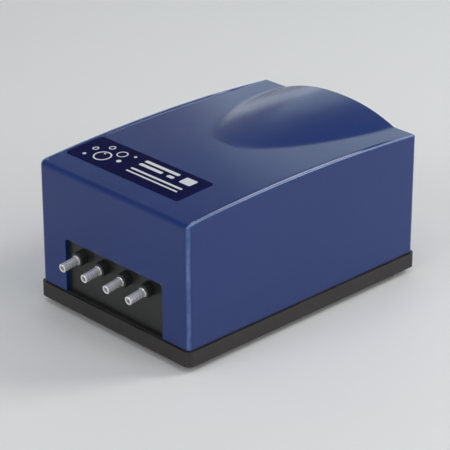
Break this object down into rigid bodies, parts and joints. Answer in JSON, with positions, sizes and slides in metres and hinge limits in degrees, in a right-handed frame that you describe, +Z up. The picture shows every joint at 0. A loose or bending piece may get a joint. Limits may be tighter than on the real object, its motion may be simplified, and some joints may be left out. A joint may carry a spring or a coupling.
{
  "type": "aquarium air pump",
  "caption": "Mains-powered aquarium air pump: a box housing with an arched, humped top on a dark base, front outlet nozzles, and an electromagnet that swings arms driving diaphragm heads.",
  "frame": {"origin": "centre of the overall footprint, on the surface the rubber feet stand on", "axes": "+Z up, -Y towards the outlet nozzles, +X to the right seen from the front"},
  "size_m": [0.1224, 0.1934, 0.0938],
  "materials": {
    "housing_blue": "gloss",
    "base_black": "satin",
    "seal_black": "matt",
    "foot_rubber": "matt",
    "screw_steel": "satin",
    "panel_black": "satin",
    "nozzle_metal": "polished",
    "label_navy": "gloss",
    "felt_white": "matt",
    "sheet_steel": "zinc plated",
    "core_steel": "varnished laminations",
    "spacer_aluminium": "satin",
    "bobbin_white": "satin",
    "winding_copper": "enamelled wire",
    "tape_yellow": "satin",
    "lead_red": "satin",
    "pin_steel": "polished",
    "arm_plastic": "satin",
    "bush_brass": "satin",
    "magnet_grey": "matt",
    "diaphragm_rubber": "matt",
    "head_grey": "satin",
    "gasket_red": "matt",
    "tube_grey": "satin"
  },
  "bodies": {
    "pump_body": {"upper_housing": "housing_blue", "base_tray": "base_black", "housing_gasket": "seal_black", "housing_screws": "screw_steel", "outlet_panel": "panel_black", "outlet_nozzle_1": "nozzle_metal", "outlet_nozzle_2": "nozzle_metal", "outlet_nozzle_3": "nozzle_metal", "outlet_nozzle_4": "nozzle_metal", "name_label": "label_navy", "foot_front_left": "foot_rubber", "foot_front_right": "foot_rubber", "foot_rear_left": "foot_rubber", "foot_rear_right": "foot_rubber", "intake_felt": "felt_white", "cord_gland": "seal_black", "chassis_plate": "sheet_steel", "vibration_mounts": "seal_black", "chassis_screws": "screw_steel", "magnet_core": "core_steel", "core_spacers": "spacer_aluminium", "core_screws": "screw_steel", "coil_bobbin": "bobbin_white", "coil_winding": "winding_copper", "coil_tape": "tape_yellow", "coil_leads": "lead_red", "lead_connectors": "bobbin_white", "pivot_bracket": "sheet_steel", "right_pivot_pin": "pin_steel", "left_pivot_pin": "pin_steel", "right_diaphragm": "diaphragm_rubber", "left_diaphragm": "diaphragm_rubber", "right_clamp_ring": "arm_plastic", "left_clamp_ring": "arm_plastic", "right_pump_head": "head_grey", "left_pump_head": "head_grey", "right_head_gasket": "gasket_red", "left_head_gasket": "gasket_red", "right_head_cover": "head_grey", "left_head_cover": "head_grey", "head_screws": "screw_steel", "head_foot_screws": "screw_steel", "air_tube_1": "tube_grey", "air_tube_2": "tube_grey", "air_tube_3": "tube_grey", "air_tube_4": "tube_grey"},
    "right_arm": {"right_swing_arm": "arm_plastic", "right_arm_bush": "bush_brass", "right_arm_magnet": "magnet_grey", "right_diaphragm_stud": "pin_steel"},
    "left_arm": {"left_swing_arm": "arm_plastic", "left_arm_bush": "bush_brass", "left_arm_magnet": "magnet_grey", "left_diaphragm_stud": "pin_steel"},
    "right_inlet_valve": {"right_inlet_flap": "gasket_red"},
    "right_outlet_valve": {"right_outlet_flap": "gasket_red"},
    "left_inlet_valve": {"left_inlet_flap": "gasket_red"},
    "left_outlet_valve": {"left_outlet_flap": "gasket_red"},
    "intake_filter_cover": {"intake_cover": "base_black"}
  },
  "joints": [
    {"name": "right_arm_swing", "type": "hinge", "parent": "pump_body", "child": "right_arm", "pos_m": [0.015, -0.02825, 0.045], "axis": [0, 0, 1], "range_deg": [-2, 2], "stiffness_Nm_per_rad": 0.8, "deforming": ["right_diaphragm"]},
    {"name": "left_arm_swing", "type": "hinge", "parent": "pump_body", "child": "left_arm", "pos_m": [-0.015, -0.02825, 0.045], "axis": [0, 0, 1], "range_deg": [-2, 2], "stiffness_Nm_per_rad": 0.8, "deforming": ["left_diaphragm"]},
    {"name": "right_outlet_valve_flap", "type": "hinge", "parent": "pump_body", "child": "right_outlet_valve", "pos_m": [0.0349, 0.00525, 0.0584], "axis": [0, -1, 0], "range_deg": [0, 14], "stiffness_Nm_per_rad": 0.00005},
    {"name": "right_inlet_valve_flap", "type": "hinge", "parent": "pump_body", "child": "right_inlet_valve", "pos_m": [0.0301, 0.00525, 0.0424], "axis": [0, 1, 0], "range_deg": [0, 14], "stiffness_Nm_per_rad": 0.00005},
    {"name": "left_outlet_valve_flap", "type": "hinge", "parent": "pump_body", "child": "left_outlet_valve", "pos_m": [-0.0349, 0.00525, 0.0584], "axis": [0, 1, 0], "range_deg": [0, 14], "stiffness_Nm_per_rad": 0.00005},
    {"name": "left_inlet_valve_flap", "type": "hinge", "parent": "pump_body", "child": "left_inlet_valve", "pos_m": [-0.0301, 0.00525, 0.0424], "axis": [0, -1, 0], "range_deg": [0, 14], "stiffness_Nm_per_rad": 0.00005},
    {"name": "intake_cover_pull", "type": "slide", "parent": "pump_body", "child": "intake_filter_cover", "axis": [0, 0, -1], "range_m": [0, 0.012]}
  ],
  "couplings": [
    {"joint": "left_arm_swing", "follows": "right_arm_swing", "ratio": -1}
  ]
}
